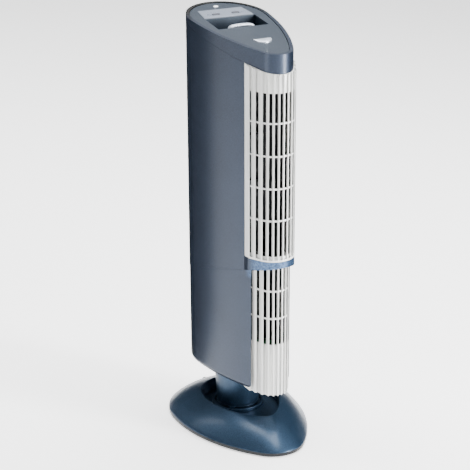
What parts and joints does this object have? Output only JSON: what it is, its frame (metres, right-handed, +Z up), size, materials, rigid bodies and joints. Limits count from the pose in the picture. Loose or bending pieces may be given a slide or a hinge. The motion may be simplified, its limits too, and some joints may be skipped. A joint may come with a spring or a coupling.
{
  "type": "blower tower",
  "caption": "Slim free-standing blower tower on an egg-shaped swivelling foot, with ribbed outlet grilles and a lift-out collector cartridge.",
  "frame": {"origin": "centre of the foot's outline on the floor", "axes": "+Z up, front grilles towards -Y, +X to the right seen from the front"},
  "size_m": [0.2164, 0.312, 0.7],
  "materials": {
    "housing_blue": "metallic blue-grey lacquer, satin gloss",
    "lid_grey": "moulded, silver-grey lacquer",
    "grille_white": "moulded silver-white plastic",
    "silver_plastic": "silver lacquer",
    "dark_button": "satin",
    "lens_clear": "milky lens",
    "black_abs": "moulded black",
    "rubber": "matt rubber",
    "steel": "machined",
    "gear_nylon": "natural acetal",
    "bronze": "sintered",
    "circuit_board": "green laminate"
  },
  "bodies": {
    "base": {"base_shell": "housing_blue", "base_plate": "black_abs", "rubber_feet": "rubber", "ballast_ring": "steel", "base_screws": "steel", "cord_gland": "rubber", "swivel_post": "gear_nylon", "swivel_collar": "housing_blue", "thrust_bearing": "steel", "swivel_gear": "gear_nylon"},
    "tower": {"turntable": "housing_blue", "neck_shell": "housing_blue", "drive_plate": "black_abs", "neck_screws": "steel", "swivel_motor": "steel", "lower_housing": "housing_blue", "upper_housing": "housing_blue", "top_rim": "housing_blue", "top_lid": "lid_grey", "control_panel": "silver_plastic", "indicator_lens": "lens_clear", "upper_grille": "grille_white", "lower_grille": "grille_white", "intake_grille": "black_abs", "air_duct": "black_abs", "fan_motor": "steel", "motor_bracket": "black_abs", "bearing_bracket": "black_abs", "shaft_bush": "bronze", "cartridge_guide": "black_abs", "contact_block": "bronze", "control_board": "circuit_board", "supply_board": "circuit_board", "release_guide": "black_abs", "release_spring": "steel"},
    "impeller": {"impeller": "black_abs", "impeller_shaft": "steel"},
    "cartridge": {"cartridge_frame": "black_abs", "collector_plates": "steel", "emitter_wires": "steel", "cartridge_head": "lid_grey", "cartridge_handle": "silver_plastic"},
    "release_button": {"release_button": "silver_plastic"},
    "power_button": {"power_button": "dark_button"},
    "mode_button": {"mode_button": "dark_button"},
    "swivel_pinion": {"swivel_pinion": "gear_nylon"}
  },
  "joints": [
    {"name": "tower_swivel", "type": "hinge", "parent": "base", "child": "tower", "pos_m": [0, 0.021, 0.036], "axis": [0, 0, 1], "range_deg": [-35, 35]},
    {"name": "pinion_spin", "type": "hinge", "parent": "tower", "child": "swivel_pinion", "pos_m": [0, 0.039, 0.048], "axis": [0, 0, 1], "range_deg": [-70, 70]},
    {"name": "impeller_spin", "type": "hinge", "parent": "tower", "child": "impeller", "pos_m": [0, 0.074, 0.476], "axis": [0, 0, 1], "continuous": true},
    {"name": "cartridge_lift", "type": "slide", "parent": "tower", "child": "cartridge", "axis": [0, 0, 1], "range_m": [0, 0.36]},
    {"name": "release_press", "type": "slide", "parent": "tower", "child": "release_button", "axis": [0, 0, -1], "range_m": [0, 0.003], "stiffness_N_per_m": 400, "deforming": ["release_spring"]},
    {"name": "power_press", "type": "slide", "parent": "tower", "child": "power_button", "axis": [0, 0, -1], "range_m": [0, 0.0012], "stiffness_N_per_m": 600},
    {"name": "mode_press", "type": "slide", "parent": "tower", "child": "mode_button", "axis": [0, 0, -1], "range_m": [0, 0.0012], "stiffness_N_per_m": 600}
  ],
  "couplings": [
    {"joint": "pinion_spin", "follows": "tower_swivel", "ratio": 2}
  ]
}
